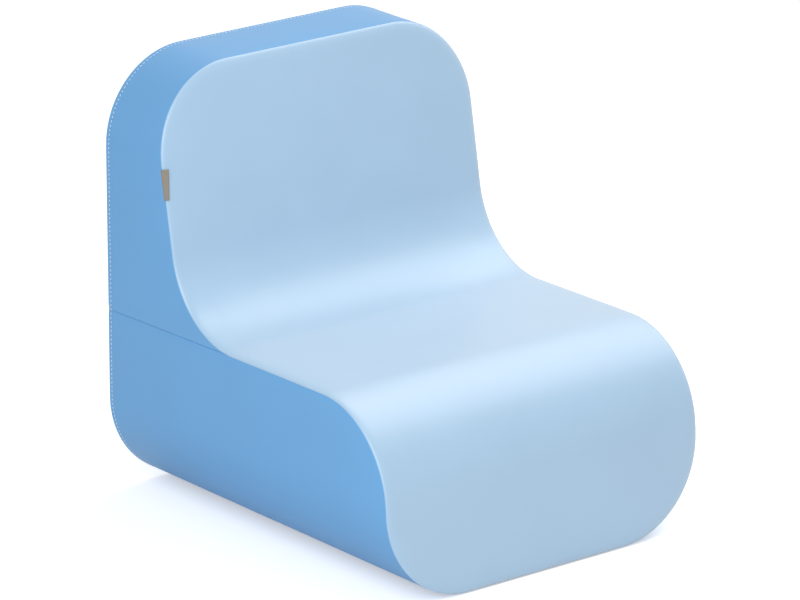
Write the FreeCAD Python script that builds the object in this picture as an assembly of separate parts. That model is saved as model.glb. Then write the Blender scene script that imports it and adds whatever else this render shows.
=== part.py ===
"""Foam floor chair for a nursery: two glued foam blocks in a sewn cover that a zip closes across the back.

Millimetres, +Z up. The sitter faces -Y and the back is flat at +Y. The origin is on the floor under
the middle of the overall box. Seen from the front the chair is a rounded rectangle, and seen from
the side it is an S: both outlines are straight lines and tangent arcs.
"""

import FreeCAD
import Part

import math
import os

# Overall form
width = 520.0
height = 600.0
depth_at_floor = 604.0
top_corner_radius = 123.0
bottom_corner_radius = 130.0

# Side profile of the front, from the top of the back to the floor
back_top_thickness = 108.0
back_recline_deg = 10.3
crook_radius = 122.0
seat_height = 264.0
seat_rise_deg = 0.45
nose_radius = 132.0
front_flare_deg = 3.4

# Cover
skin = 1.2
fit_gap = 0.4
side_seam_drop = 12.0
side_seam_end_deg = 10.0
base_seam_inset = 20.0

# Foam core
glue_line = 0.2
toe_thickness = 12.0
toe_length = 14.0

# Zip across the back, seen as a straight chain along X
zip_height = 150.0
zip_side_margin = 50.0
zip_window = 12.0
zip_window_end = 14.0
hem_width = 14.0
stack_gap = 0.2
tape_width = 16.0
tape_thickness = 0.6
tape_parting = 3.0
tape_tail = 18.0
tooth_pitch = 5.0
tooth_length = 2.1
tooth_reach = 3.6
tooth_lap = 1.1
tooth_height = 1.8
stop_length = 3.0
stop_gap = 1.0
foam_channel_margin = 3.0

# Zip slider and its pull tab
slider_length = 13.0
slider_plate = 1.2
slider_flange = 0.8
slider_clearance = 0.3
divider_length = 4.0
divider_setback = 1.2
bail_length = 7.0
bail_width = 3.0
bail_bar = 1.3
pull_pin_radius = 0.8
pull_pin_play = 0.3
pull_arm = 1.4
pull_arm_play = 0.4
pull_window = 6.0
pull_length = 26.0
pull_width = 8.4
pull_thickness = 1.4
pull_corner = 2.5

# Folded label in the left seam of the front panel
label_place_share = 0.61
label_length = 40.0
label_reach = 14.0
label_ply = 0.5
label_fold_gap = 0.5
label_lift_deg = 12.0
label_seam_inset = 0.6

# Cutters run past what they cut by this much
overrun = 40.0

back_y = depth_at_floor / 2
front_y = -depth_at_floor / 2
half_width = width / 2
zip_length = width - 2 * zip_side_margin


def vec(x, y, z):
    return FreeCAD.Vector(x, y, z)


def line(start, end):
    return Part.LineSegment(start, end).toShape()


def arc(start, middle, end):
    return Part.Arc(start, middle, end).toShape()


def face_of(edges):
    return Part.Face(Part.Wire(Part.sortEdges(edges)[0]))


def polygon(points):
    return Part.Face(Part.makePolygon(points + points[:1]))


def box(low, high):
    """A box between two opposite corners."""
    size = high - low
    return Part.makeBox(size.x, size.y, size.z, low)


def across(face):
    """Runs a face of the YZ plane right across the width and past both sides."""
    reach = half_width + overrun
    return face.translated(vec(-reach, 0, 0)).extrude(vec(2 * reach, 0, 0))


# Side profile

def direction(deg_from_level):
    """Unit vector in the YZ plane, turned up from the way the sitter faces."""
    turn = math.radians(deg_from_level)
    return vec(0, -math.cos(turn), math.sin(turn))


down_back = direction(-90 + back_recline_deg)
along_seat = direction(seat_rise_deg)
down_front = direction(-90 + front_flare_deg)


def inward(along):
    """Normal of a stretch of the profile, into the foam."""
    return vec(0, -along.z, along.y)


def meet(p, u, q, v):
    """Where the line through p along u crosses the line through q along v, in the YZ plane."""
    share = ((q.y - p.y) * v.z - (q.z - p.z) * v.y) / (u.y * v.z - u.z * v.y)
    return p + u * share


def rounding(corner, arriving, leaving, radius):
    """Start, middle and end of the arc that rounds a corner of the profile."""
    half = (math.pi - arriving.getAngle(leaving)) / 2
    reach = radius / math.tan(half)
    bisector = leaving - arriving
    bisector.normalize()
    middle = corner + bisector * (radius / math.sin(half) - radius)
    return corner - arriving * reach, middle, corner + leaving * reach


def profile_points(inset, top, bottom):
    """Points of the S from the top of the back to the floor, moved into the foam by inset."""
    floor_point = vec(0, front_y, 0)
    nose_corner = meet(floor_point, down_front, vec(0, 0, seat_height), vec(0, 1, 0))
    starts = [
        (vec(0, back_y - back_top_thickness, height), down_back),
        (nose_corner, along_seat),
        (floor_point, down_front),
    ]
    back, seat, front = [(p + inward(d) * inset, d) for p, d in starts]
    crook = rounding(meet(*back, *seat), down_back, along_seat, crook_radius + inset)
    nose = rounding(meet(*seat, *front), along_seat, down_front, nose_radius - inset)
    level = vec(0, 1, 0)
    first = meet(*back, vec(0, 0, top), level)
    last = meet(*front, vec(0, 0, bottom), level)
    return [first, *crook, *nose, last]


def profile_edges(points):
    first, c0, c1, c2, n0, n1, n2, last = points
    return [line(first, c0), arc(c0, c1, c2), line(c2, n0), arc(n0, n1, n2), line(n2, last)]


def profile_face(inset, back, top, bottom):
    """Everything behind the S, back to a given plane and between two heights."""
    points = profile_points(inset, top, bottom)
    corners = [points[-1], vec(0, back, bottom), vec(0, back, top), points[0]]
    sides = [line(a, b) for a, b in zip(corners, corners[1:])]
    return face_of(profile_edges(points) + sides)


def crook_point(deg_from_seat):
    """Point of the S in the crook, so many degrees round from where the seat starts."""
    points = profile_points(0, height, 0)
    seat_end = points[3]
    centre = seat_end - inward(along_seat) * crook_radius
    turn = math.radians(deg_from_seat)
    return centre + (inward(along_seat) * math.cos(turn) - along_seat * math.sin(turn)) * crook_radius


# Front outline

def outline_face(inset, y):
    """The rounded rectangle seen from the front, moved inwards by inset, in the plane of y."""
    side = half_width - inset
    low, high = inset, height - inset
    edges = []
    corners = []
    for x_sign, z, z_sign, radius in (
        (1, low, 1, bottom_corner_radius - inset),
        (1, high, -1, top_corner_radius - inset),
        (-1, high, -1, top_corner_radius - inset),
        (-1, low, 1, bottom_corner_radius - inset),
    ):
        centre = vec(x_sign * (side - radius), y, z + z_sign * radius)
        on_side = centre + vec(x_sign * radius, 0, 0)
        on_level = centre - vec(0, 0, z_sign * radius)
        middle = centre + vec(x_sign, 0, -z_sign) * (radius / math.sqrt(2))
        edges.append(arc(on_level, middle, on_side))
        corners.append((on_level, on_side))
    for k, ends in enumerate(((1, 1), (0, 0), (1, 1), (0, 0))):
        edges.append(line(corners[k][ends[0]], corners[(k + 1) % len(corners)][ends[1]]))
    return face_of(edges)


def half_width_at(z):
    """Half the width of the chair at a height in its upper half, less inside the top corners."""
    above = max(z - (height - top_corner_radius), 0)
    return half_width - top_corner_radius + math.sqrt(top_corner_radius ** 2 - above ** 2)


def outline_prism(inset, front, back):
    return outline_face(inset, front).extrude(vec(0, back - front, 0))


def whole_outline(inset):
    return outline_prism(inset, front_y - overrun, back_y + overrun)


# Cover panels

def front_panel():
    """The pale S-shaped panel, from the top of the back over the seat to the floor."""
    outer = profile_points(0, height, 0)
    inner = profile_points(skin, height, 0)
    ends = [line(outer[0], inner[0]), line(outer[-1], inner[-1])]
    strip = face_of(profile_edges(outer) + profile_edges(inner) + ends)
    return across(strip).common(whole_outline(0))


def side_skin():
    """The tube of side panels between the front panel and the back panels."""
    tube = whole_outline(0).cut(whole_outline(skin))
    room = profile_face(skin + fit_gap, back_y - skin - fit_gap, height + overrun, -overrun)
    return tube.common(across(room))


def above_side_seam(lift):
    """The space above the seam that runs back from the crook, raised by lift."""
    seam_front = crook_point(side_seam_end_deg)
    seam_back = vec(0, back_y, seat_height - side_seam_drop)
    along = seam_front - seam_back
    upright = vec(0, 0, 1)
    rear, fore = back_y + overrun, front_y - overrun
    start = meet(seam_back, along, vec(0, rear, 0), upright) + upright * lift
    end = meet(seam_back, along, vec(0, fore, 0), upright) + upright * lift
    roof = height + overrun
    return across(polygon([start, end, vec(0, fore, roof), vec(0, rear, roof)]))


def base_strip(half):
    """The space above and below the flat of the base, out to half on both sides."""
    reach = depth_at_floor / 2 + overrun
    return box(vec(-half, -reach, -overrun), vec(half, reach, bottom_corner_radius))


def side_panels():
    tube = side_skin()
    upper = tube.common(above_side_seam(fit_gap / 2))
    lower = tube.cut(above_side_seam(-fit_gap / 2))
    base_half = half_width - bottom_corner_radius - base_seam_inset
    base = lower.common(base_strip(base_half - fit_gap))
    walls = lower.cut(base_strip(base_half))
    left, right = sorted(walls.Solids, key=lambda s: s.CenterOfMass.x)
    return upper, left, right, base


hem_front_y = back_y - skin
tape_front_y = hem_front_y - skin - stack_gap
tape_back_y = tape_front_y - tape_thickness
window_half = zip_length / 2 + zip_window_end


def back_panels():
    """Upper and lower halves of the flat back, each with a turned-in hem along the zip."""
    plate = outline_prism(0, back_y - skin, back_y)
    window = box(
        vec(-window_half, back_y - skin - overrun, zip_height - zip_window / 2),
        vec(window_half, back_y + overrun, zip_height + zip_window / 2),
    )
    plate = plate.cut(window)
    reach = half_width + overrun
    panels = []
    for sign in (1, -1):
        edge = zip_height + sign * fit_gap / 2
        far = zip_height + sign * (height + overrun)
        half_space = box(
            vec(-reach, back_y - overrun, min(edge, far)),
            vec(reach, back_y + overrun, max(edge, far)),
        )
        fold = zip_height + sign * zip_window / 2
        hem_edge = fold + sign * hem_width
        hem = box(
            vec(-window_half, hem_front_y - skin, min(fold, hem_edge)),
            vec(window_half, hem_front_y, max(fold, hem_edge)),
        )
        panels.append(plate.common(half_space).fuse(hem).removeSplitter())
    return panels


# Foam core

def foam_blocks():
    """Seat block and backrest block. The backrest stands in a shallow rebate in the seat block."""
    inset = skin + fit_gap
    rear = back_y - inset
    block = across(profile_face(inset, rear, height, 0)).common(whole_outline(inset))
    channel_half = zip_window / 2 + hem_width + foam_channel_margin
    channel_floor = tape_back_y - 2 * slider_clearance - slider_plate
    reach = half_width + overrun
    channel = box(
        vec(-reach, channel_floor, zip_height - channel_half),
        vec(reach, back_y + overrun, zip_height + channel_half),
    )
    block = block.cut(channel)
    seat_start = profile_points(inset, height, 0)[3]
    rebate = seat_start.z - toe_thickness
    step = seat_start.y - toe_length
    roof = height + overrun

    def back_zone(play):
        low, front, far = rebate + play, step + play, back_y + overrun
        return across(polygon([vec(0, front, low), vec(0, far, low), vec(0, far, roof), vec(0, front, roof)]))

    seat = block.cut(back_zone(-glue_line / 2))
    backrest = block.common(back_zone(glue_line / 2))
    return seat, backrest


# Zip

chain_start = -zip_length / 2
chain_end = zip_length / 2


def zip_tapes():
    reach = zip_length / 2 + tape_tail
    tapes = []
    for sign in (1, -1):
        near = zip_height + sign * tape_parting / 2
        far = near + sign * tape_width
        tapes.append(box(
            vec(-reach, tape_back_y, min(near, far)),
            vec(reach, tape_front_y, max(near, far)),
        ))
    return tapes


def zip_teeth(sign):
    """One row of teeth, each lapping past the middle between two teeth of the other row."""
    near = zip_height - sign * tooth_lap
    far = zip_height + sign * tooth_reach
    first = chain_start + (tooth_pitch - sign * tooth_pitch / 2) / 2
    teeth = []
    for k in range(int(zip_length // tooth_pitch)):
        x = first + k * tooth_pitch
        teeth.append(box(
            vec(x, tape_front_y, min(near, far)),
            vec(x + tooth_length, tape_front_y + tooth_height, max(near, far)),
        ))
    return Part.makeCompound(teeth)


def zip_end_stops():
    """A bridge over both tapes where the zip opens to, and one stop on each tape where it shuts."""
    low_end = chain_start - stop_gap
    high_start = chain_end + slider_length / 2 + stop_gap
    top = tape_front_y + tooth_height
    stops = [box(
        vec(low_end - stop_length, tape_front_y, zip_height - tooth_reach),
        vec(low_end, top, zip_height + tooth_reach),
    )]
    for sign in (1, -1):
        near = zip_height + sign * tape_parting / 2
        far = zip_height + sign * tooth_reach
        stops.append(box(
            vec(high_start, tape_front_y, min(near, far)),
            vec(high_start + stop_length, top, max(near, far)),
        ))
    return Part.makeCompound(stops)


slider_front_y = tape_front_y + tooth_height + slider_clearance
slider_face_y = slider_front_y + slider_plate
slider_half_width = tooth_reach + slider_clearance + slider_flange
pull_axis_y = slider_face_y + pull_pin_play + pull_pin_radius
bail_under_y = pull_axis_y + pull_pin_radius + pull_pin_play


def zip_slider():
    """Front plate with flanges, rear plate, the divider between them and the bail for the pull tab."""
    half = slider_length / 2
    low, high = zip_height - slider_half_width, zip_height + slider_half_width
    rear_y = tape_back_y - slider_clearance
    body = box(vec(-half, slider_front_y, low), vec(half, slider_face_y, high))
    flange_y = tape_front_y + slider_clearance
    for start in (low, high - slider_flange):
        body = body.fuse(box(
            vec(-half, flange_y, start),
            vec(half, slider_face_y, start + slider_flange),
        ))
    body = body.fuse(box(vec(-half, rear_y - slider_plate, low), vec(half, rear_y, high)))
    divider_half = tape_parting / 2 - slider_clearance
    body = body.fuse(box(
        vec(divider_setback, rear_y - slider_plate, zip_height - divider_half),
        vec(divider_setback + divider_length, slider_face_y, zip_height + divider_half),
    ))
    bail_top = bail_under_y + bail_bar
    bail = box(
        vec(-bail_length / 2, slider_front_y, zip_height - bail_width / 2),
        vec(bail_length / 2, bail_top, zip_height + bail_width / 2),
    )
    hole = box(
        vec(-bail_length / 2 + bail_bar, slider_face_y, zip_height - bail_width),
        vec(bail_length / 2 - bail_bar, bail_under_y, zip_height + bail_width),
    )
    return body.fuse(bail.cut(hole)).removeSplitter().translated(vec(chain_end, 0, 0))


def zip_pull_tab():
    """A tab with a window for the bail. The bar across its end is the pin it swings on."""
    arm_inner = bail_width / 2 + pull_arm_play
    arm_outer = arm_inner + pull_arm
    low_y = pull_axis_y - pull_thickness / 2
    pin = Part.makeCylinder(
        pull_pin_radius,
        2 * arm_outer,
        vec(0, pull_axis_y, zip_height - arm_outer),
        vec(0, 0, 1),
    )
    plate = Part.makeBox(
        pull_length - pull_window,
        pull_thickness,
        pull_width,
        vec(-pull_length, low_y, zip_height - pull_width / 2),
    )
    upright = [e for e in plate.Edges if abs(e.tangentAt(e.FirstParameter).y) > math.sqrt(1 / 2)]
    tab = plate.makeFillet(pull_corner, upright).fuse(pin)
    for start in (zip_height - arm_outer, zip_height + arm_inner):
        tab = tab.fuse(Part.makeBox(
            pull_window + pull_corner,
            pull_thickness,
            pull_arm,
            vec(-pull_window - pull_corner, low_y, start),
        ))
    return tab.removeSplitter().translated(vec(chain_end, 0, 0))


# Label

def side_label():
    """A strip folded double, its two ends in the seam and its fold standing a little off the panel."""
    fold_radius = label_ply + label_fold_gap / 2
    inner_radius = label_fold_gap / 2
    reach = label_reach - fold_radius
    thick = 2 * fold_radius

    def flat(u, v):
        return vec(u, 0, v)

    edges = [
        line(flat(0, 0), flat(reach, 0)),
        arc(flat(reach, 0), flat(label_reach, fold_radius), flat(reach, thick)),
        line(flat(reach, thick), flat(0, thick)),
        line(flat(0, thick), flat(0, thick - label_ply)),
        line(flat(0, thick - label_ply), flat(reach, thick - label_ply)),
        arc(
            flat(reach, thick - label_ply),
            flat(reach + inner_radius, fold_radius),
            flat(reach, label_ply),
        ),
        line(flat(reach, label_ply), flat(0, label_ply)),
        line(flat(0, label_ply), flat(0, 0)),
    ]
    strip = face_of(edges).extrude(vec(0, label_length, 0))
    strip.rotate(vec(0, 0, 0), vec(0, 1, 0), -label_lift_deg)
    # Local Y runs up the back and local Z stands off it
    strip.rotate(vec(0, 0, 0), vec(1, 0, 0), 90 - back_recline_deg)
    top_of_back, end_of_back = profile_points(0, height, 0)[:2]
    middle = top_of_back + (end_of_back - top_of_back) * label_place_share
    low_end = middle + down_back * (label_length / 2)
    high_end = middle - down_back * (label_length / 2)
    seam = vec(label_seam_inset - half_width_at(high_end.z), 0, 0)
    return strip.translated(low_end + seam - inward(down_back) * fit_gap)


def main():
    upper_band, left_panel, right_panel, base = side_panels()
    upper_back, lower_back = back_panels()
    seat, backrest = foam_blocks()
    upper_tape, lower_tape = zip_tapes()
    nodes = {
        "seat_foam_block": seat,
        "backrest_foam_block": backrest,
        "front_panel": front_panel(),
        "upper_side_band": upper_band,
        "left_lower_panel": left_panel,
        "right_lower_panel": right_panel,
        "base_panel": base,
        "upper_back_panel": upper_back,
        "lower_back_panel": lower_back,
        "zip_upper_tape": upper_tape,
        "zip_lower_tape": lower_tape,
        "zip_upper_teeth": zip_teeth(1),
        "zip_lower_teeth": zip_teeth(-1),
        "zip_end_stops": zip_end_stops(),
        "zip_slider": zip_slider(),
        "zip_pull_tab": zip_pull_tab(),
        "side_label": side_label(),
    }
    os.makedirs("parts", exist_ok=True)
    for name, shape in nodes.items():
        shape.exportStep(f"parts/{name}.step")
        print(name, len(shape.Solids), round(shape.Volume), shape.isValid())


main()
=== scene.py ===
"""Looks of the foam floor chair: a sewn vinyl cover over its foam core, its zip, its label and its thread.

Metres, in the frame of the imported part: +Z up, the sitter faces -Y, and the floor is at z = 0.
Each cover panel is meshed as a flat cut, laid on the chair, pressed out from inside by a cloth
simulation with its seams held, and finished with rolled edges.
"""

import math

import bmesh
import bpy
import numpy as np
from mathutils import Matrix, Vector, noise
from mathutils.bvhtree import BVHTree
from mathutils.geometry import delaunay_2d_cdt


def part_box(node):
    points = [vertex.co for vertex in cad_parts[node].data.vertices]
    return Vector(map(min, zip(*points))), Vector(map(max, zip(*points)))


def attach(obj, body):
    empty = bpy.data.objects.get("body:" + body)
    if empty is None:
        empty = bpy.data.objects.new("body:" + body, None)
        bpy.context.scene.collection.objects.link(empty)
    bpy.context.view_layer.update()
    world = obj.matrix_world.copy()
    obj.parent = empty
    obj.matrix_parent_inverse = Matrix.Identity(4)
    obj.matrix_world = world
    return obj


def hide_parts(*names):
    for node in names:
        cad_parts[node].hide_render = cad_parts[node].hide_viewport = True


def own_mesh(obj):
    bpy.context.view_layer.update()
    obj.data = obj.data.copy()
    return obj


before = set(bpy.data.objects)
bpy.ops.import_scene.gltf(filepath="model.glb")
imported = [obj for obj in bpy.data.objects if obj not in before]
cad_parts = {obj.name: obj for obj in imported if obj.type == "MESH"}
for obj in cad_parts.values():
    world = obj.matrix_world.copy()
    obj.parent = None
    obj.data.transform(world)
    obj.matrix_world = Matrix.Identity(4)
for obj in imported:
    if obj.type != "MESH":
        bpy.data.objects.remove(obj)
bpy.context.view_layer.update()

# Form of the chair, as the part has it
TOP_CORNER = 0.123
BOTTOM_CORNER = 0.130
BACK_TOP_THICKNESS = 0.108
RECLINE = math.radians(10.3)
CROOK_RADIUS = 0.122
SEAT_HEIGHT = 0.264
SEAT_RISE = math.radians(0.45)
NOSE_RADIUS = 0.132
FLARE = math.radians(3.4)
SIDE_SEAM_DROP = 0.012
ZIP_WINDOW = 0.012
ZIP_WINDOW_HALF = 0.224

# End of the side seam, before the end of the crook: nearer the photo than the part's own
SIDE_SEAM_END = math.radians(5)

# Places that the frame gives
HALF_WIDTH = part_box("front_panel")[1].x
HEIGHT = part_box("front_panel")[1].z
FRONT_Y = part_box("front_panel")[0].y
BACK_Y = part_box("upper_back_panel")[1].y
BASE_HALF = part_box("base_panel")[1].x
ZIP_Z = (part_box("zip_upper_tape")[0].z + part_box("zip_lower_tape")[1].z) / 2

# Cover: how far each kind of panel is pressed out, its sheet, and its seams
FRONT_SWELL = 0.0020
SIDE_SWELL = 0.0018
BACK_SWELL = 0.0010
BASE_LIFT = 0.0006
SHEET = 0.0012
FRONT_ROLL = 0.0030
FRONT_ROLL_WIDTH = 0.012
BACK_ROLL = 0.0020
LAP_START = 0.0002
LAP_ROLL = 0.0010
SEAM_ROLL = 0.0013
EDGE_SPACING = 0.0065
ROW_STEP = 0.003
GRID_SPACING = 0.0105
PRESSURE = 4.0
UNEVEN = 0.00022
UNEVEN_SCALE = 14.0

# Topstitching along the back edge and beside the zip
STITCH_PITCH = 0.0060
STITCH_LENGTH = 0.0042
STITCH_RADIUS = 0.00052
STITCH_LIFT = 0.00025
# Dark dots sunk between the stitches: painted shade in the needle holes
HOLE_SHADE_LENGTH = 0.0016
HOLE_SHADE_RADIUS = 0.00062
HOLE_SHADE_LIFT = -0.0003
STITCH_IN = 0.0074
STITCH_GROOVE = 0.00040
STITCH_GROOVE_WIDTH = 0.0013
ZIP_STITCH_IN = 0.0045
ZIP_STITCH_PITCH = 0.0045
ZIP_STITCH_LENGTH = 0.0031


# Flat geometry

class Path:
    """A flat path of straight runs and tangent arcs, read by the length along it."""

    def __init__(self, start, heading, runs, step=0.0005):
        points, headings, lengths = [np.array(start)], [heading], [0.0]
        self.ends = [0.0]
        for length, turn in runs:
            share = np.linspace(0, 1, max(2, math.ceil(length / step)) + 1)[1:]
            angle = headings[-1] + turn * share
            if turn:
                ahead = np.c_[np.sin(angle) - math.sin(headings[-1]), math.cos(headings[-1]) - np.cos(angle)]
                ahead = ahead * length / turn
            else:
                ahead = np.c_[np.cos(angle), np.sin(angle)] * (length * share)[:, None]
            points.extend(points[-1] + ahead)
            lengths.extend(lengths[-1] + length * share)
            headings.extend(angle)
            self.ends.append(lengths[-1])
        self.points, self.headings, self.lengths = map(np.array, (points, headings, lengths))
        self.length = lengths[-1]

    def at(self, length):
        """Points at these lengths, and the unit normals to the right of the way."""
        place = np.c_[tuple(np.interp(length, self.lengths, self.points[:, k]) for k in (0, 1))]
        heading = np.interp(length, self.lengths, self.headings)
        return place, np.c_[np.sin(heading), -np.cos(heading)]


def cross(a, b):
    return a[0] * b[1] - a[1] * b[0]


def meet(p, u, q, v):
    """Where the line through p along u crosses the line through q along v."""
    return p + u * cross(q - p, v) / cross(u, v)


def seat_path(inset):
    """The S in the YZ plane, from the top of the back to the floor, moved into the foam by inset."""
    headings = [-math.pi / 2 - RECLINE, -math.pi - SEAT_RISE, -math.pi / 2 - FLARE]
    ways = [np.array([math.cos(h), math.sin(h)]) for h in headings]
    nose_corner = np.array([FRONT_Y + SEAT_HEIGHT * math.tan(FLARE), SEAT_HEIGHT])
    marks = [np.array([BACK_Y - BACK_TOP_THICKNESS, HEIGHT]), nose_corner, np.array([FRONT_Y, 0])]
    marks = [mark + inset * np.array([-way[1], way[0]]) for mark, way in zip(marks, ways)]
    level = np.array([1.0, 0.0])
    stops = [
        meet(marks[0], ways[0], np.array([0, HEIGHT - inset]), level),
        meet(marks[0], ways[0], marks[1], ways[1]),
        meet(marks[1], ways[1], marks[2], ways[2]),
        meet(marks[2], ways[2], np.array([0, inset]), level),
    ]
    spans = [np.linalg.norm(b - a) for a, b in zip(stops, stops[1:])]
    turns = np.diff(headings)
    radii = [CROOK_RADIUS + inset, NOSE_RADIUS - inset]
    reach = [r * math.tan(abs(turn) / 2) for r, turn in zip(radii, turns)]
    arcs = [(r * abs(turn), turn) for r, turn in zip(radii, turns)]
    runs = [
        (spans[0] - reach[0], 0),
        arcs[0],
        (spans[1] - reach[0] - reach[1], 0),
        arcs[1],
        (spans[2] - reach[1], 0),
    ]
    return Path(stops[0], headings[0], runs)


def rim_path(inset):
    """The rounded rectangle in the XZ plane, right round from the middle of the base towards +X."""
    low, high = BOTTOM_CORNER - inset, TOP_CORNER - inset
    half = HALF_WIDTH - inset
    quarter = math.pi / 2
    upright = (HEIGHT - 2 * inset - low - high, 0)
    low_turn, high_turn = (quarter * low, quarter), (quarter * high, quarter)
    foot = (half - low, 0)
    runs = [foot, low_turn, upright, high_turn, (2 * (half - high), 0), high_turn, upright, low_turn, foot]
    return Path((0.0, inset), 0.0, runs)


def spaced(low, high, spacing=EDGE_SPACING):
    """Evenly spaced values from low to high, both ends included."""
    return np.linspace(low, high, max(2, round(abs(high - low) / spacing) + 1))


def straight(start, end):
    """Evenly spaced points along a straight edge."""
    start, end = np.array(start), np.array(end)
    share = spaced(0, 1, EDGE_SPACING / np.linalg.norm(end - start))[:, None]
    return start + (end - start) * share


def joined(*lines):
    """One line from several that each start where the last one ends."""
    return np.vstack([*(line[:-1] for line in lines[:-1]), lines[-1]])


def distance_to(points, line):
    """Least distance of each point from an open line of flat points."""
    a, along = line[:-1], np.diff(line, axis=0)
    square = (along ** 2).sum(1)
    least = np.empty(len(points))
    for k in range(0, len(points), 2000):
        away = points[k:k + 2000, None] - a
        share = np.clip((away * along).sum(2) / square, 0, 1)
        least[k:k + 2000] = np.linalg.norm(away - share[..., None] * along, axis=2).min(1)
    return least


def inside(points, outline):
    """Which points lie inside a closed outline of flat points."""
    a, b = outline, np.roll(outline, -1, 0)
    rise = np.where(b[:, 1] == a[:, 1], 1, b[:, 1] - a[:, 1])
    found = np.zeros(len(points), bool)
    for k in range(0, len(points), 2000):
        x, y = points[k:k + 2000, 0, None], points[k:k + 2000, 1, None]
        spans = (a[:, 1] > y) != (b[:, 1] > y)
        cuts = a[:, 0] + (y - a[:, 1]) / rise * (b[:, 0] - a[:, 0])
        found[k:k + 2000] = (spans & (x < cuts)).sum(1) % 2 == 1
    return found


# Cut panels

class Edge:
    """How a panel ends: it rolls inwards by radius over width, and a row of stitches may groove it."""

    def __init__(self, radius, stitch_in=None, width=None):
        self.radius, self.stitch_in = radius, stitch_in
        self.width = width or radius
        rows = list(self.width * (1 - np.sin(np.radians([72, 54, 36, 18, 0]))))
        step = min(self.width / 2, ROW_STEP)
        if stitch_in:
            step = STITCH_GROOVE_WIDTH * 0.6
            rows += [stitch_in + k * step for k in (-2, -1, 0, 1, 2)]
        while step < GRID_SPACING * 0.7:
            step *= 1.5
            rows.append(rows[-1] + step)
        self.rows = rows

    def sink(self, depth):
        """How far below its face the panel lies, at a depth inside this edge."""
        over = np.clip((self.width - depth) / self.width, 0, 1)
        sink = self.radius * (1 - np.sqrt(1 - over ** 2))
        if self.stitch_in:
            sink = sink + STITCH_GROOVE * np.exp(-((depth - self.stitch_in) / STITCH_GROOVE_WIDTH) ** 2)
        return sink


class Cut:
    """A flat cut of cover, meshed with rows of points along its edges and a square grid inside.

    sides is a list of (Edge, flat points), in order round the cut, each ending where the next starts.
    """

    def __init__(self, sides):
        area = sum(cross(a, b) for _, line in sides for a, b in zip(line, line[1:])) / 2
        if area < 0:
            sides = [(edge, line[::-1]) for edge, line in reversed(sides)]
        self.sides, self.area = sides, abs(area)
        self.outline = np.vstack([line[:-1] for _, line in sides])
        self.size = self.outline.max(0) - self.outline.min(0)
        points = np.vstack([self.outline, *self.edge_rows(), self.grid()])
        count = len(self.outline)
        ring = [(k, (k + 1) % count) for k in range(count)]
        millimetres = [Vector(p) for p in points * 1000]
        made, _, triangles, _, _, _ = delaunay_2d_cdt(millimetres, ring, [], 1, 1e-5)
        self.flat = np.array(made) / 1000
        self.depths = [distance_to(self.flat, line) for _, line in sides]
        self.faces = self.quads(triangles)

    def edge_rows(self):
        """Rows of points at set depths, each row kept where its own edge is the nearest."""
        for edge, line in self.sides:
            way = np.gradient(line, axis=0)
            if len(self.sides) == 1:
                way[[0, -1]] = line[1] - line[-2]
            way /= np.linalg.norm(way, axis=1)[:, None]
            for row in edge.rows:
                placed = line + row * np.c_[-way[:, 1], way[:, 0]]
                clear = inside(placed, self.outline) & (distance_to(placed, line) > 0.93 * row)
                for _, other in self.sides:
                    if other is not line:
                        clear &= distance_to(placed, other) >= row
                yield placed[clear]

    def grid(self):
        low, high = self.outline.min(0), self.outline.max(0)
        across = spaced(low[0], high[0], GRID_SPACING)
        along = spaced(low[1], high[1], GRID_SPACING)
        points = np.array(np.meshgrid(across, along)).reshape(2, -1).T
        clear = inside(points, self.outline)
        for edge, line in self.sides:
            clear &= distance_to(points, line) > edge.rows[-1] + 0.5 * GRID_SPACING
        return points[clear]

    def quads(self, triangles):
        shape = bmesh.new()
        corners = [shape.verts.new((*p, 0)) for p in self.flat]
        shape.verts.index_update()
        for triangle in triangles:
            shape.faces.new([corners[k] for k in triangle])
        bmesh.ops.join_triangles(
            shape, faces=shape.faces, angle_face_threshold=0.1, angle_shape_threshold=math.radians(40)
        )
        faces = [[v.index for v in face.verts] for face in shape.faces]
        shape.free()
        return faces

    def sink(self):
        return np.max([edge.sink(d) for d, (edge, _) in zip(self.depths, self.sides)], axis=0)

    def from_seam(self):
        """How far each point is from the nearest seam that holds it."""
        return np.min(self.depths, axis=0)

    def corners(self):
        """One for each point where two sides meet, and zero elsewhere."""
        return (np.sum(np.array(self.depths) < 1e-6, axis=0) > 1).astype(float)


class Panel:
    """One panel of the cover: its cut, where the cut lies on the chair, and how far it is pressed out."""

    def __init__(self, name, cut, lay, swell):
        self.name, self.cut, self.swell = name, cut, swell
        self.place, self.normal = lay(cut.flat)
        corners = [self.place[[face[k] for face in cut.faces]] for k in range(3)]
        facing = np.cross(corners[1] - corners[0], corners[2] - corners[0])
        if (facing * self.normal[[face[0] for face in cut.faces]]).sum() < 0:
            cut.faces = [face[::-1] for face in cut.faces]
        self.rise = np.zeros(len(self.place))

    def mesh(self, place):
        return new_mesh(self.name, place, self.cut.faces)

    def finished(self):
        uneven = np.array([noise.noise(Vector(p) * UNEVEN_SCALE) for p in self.place]) * UNEVEN
        held = np.tanh(self.cut.from_seam() / GRID_SPACING)
        out = self.rise + (uneven - UNEVEN / 2) * held - self.cut.sink()
        mesh = self.mesh(self.place + self.normal * out[:, None])
        sharp = mesh.attributes.new("crease_vert", "FLOAT", "POINT")
        sharp.data.foreach_set("value", self.cut.corners())
        return mesh


def new_mesh(name, points, faces):
    mesh = bpy.data.meshes.new(name)
    mesh.from_pydata(np.asarray(points).tolist(), [], faces)
    mesh.shade_smooth()
    return mesh


def link(name, mesh):
    piece = bpy.data.objects.new(name, mesh)
    bpy.context.scene.collection.objects.link(piece)
    return piece


def coordinates(mesh):
    found = np.empty(len(mesh.vertices) * 3)
    mesh.vertices.foreach_get("co", found)
    return found.reshape(-1, 3)


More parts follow.
